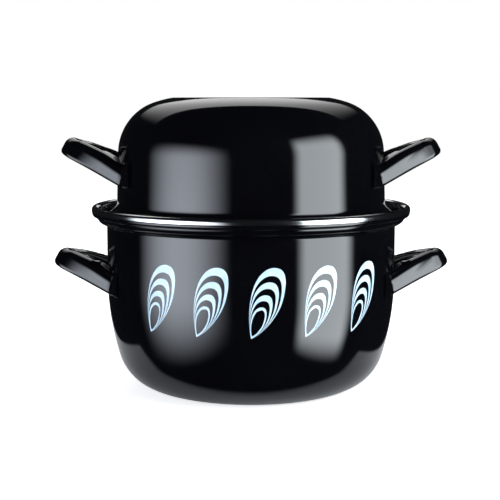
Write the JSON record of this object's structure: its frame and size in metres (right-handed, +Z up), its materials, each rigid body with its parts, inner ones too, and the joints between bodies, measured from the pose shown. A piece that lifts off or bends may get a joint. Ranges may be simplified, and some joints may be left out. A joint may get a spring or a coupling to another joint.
{
  "type": "mussel pot",
  "caption": "Enamelled mussel pot with a domed lid that doubles as a shell bowl, a rolled steel-banded rim and pressed loop handles.",
  "frame": {"origin": "centre of the ring that the pot stands on, on the axis of the pot and the lid", "axes": "+Z up along the axis of the pot and the lid, +X through the handles"},
  "size_m": [0.326, 0.2648, 0.241],
  "materials": {
    "black_enamel": "gloss",
    "polished_steel": "polished"
  },
  "bodies": {
    "root": {"pot_body": "black_enamel", "pot_rim_band": "polished_steel", "pot_handle_right": "black_enamel", "pot_handle_left": "black_enamel", "lid_body": "black_enamel", "lid_handle_right": "black_enamel", "lid_handle_left": "black_enamel"}
  },
  "joints": []
}
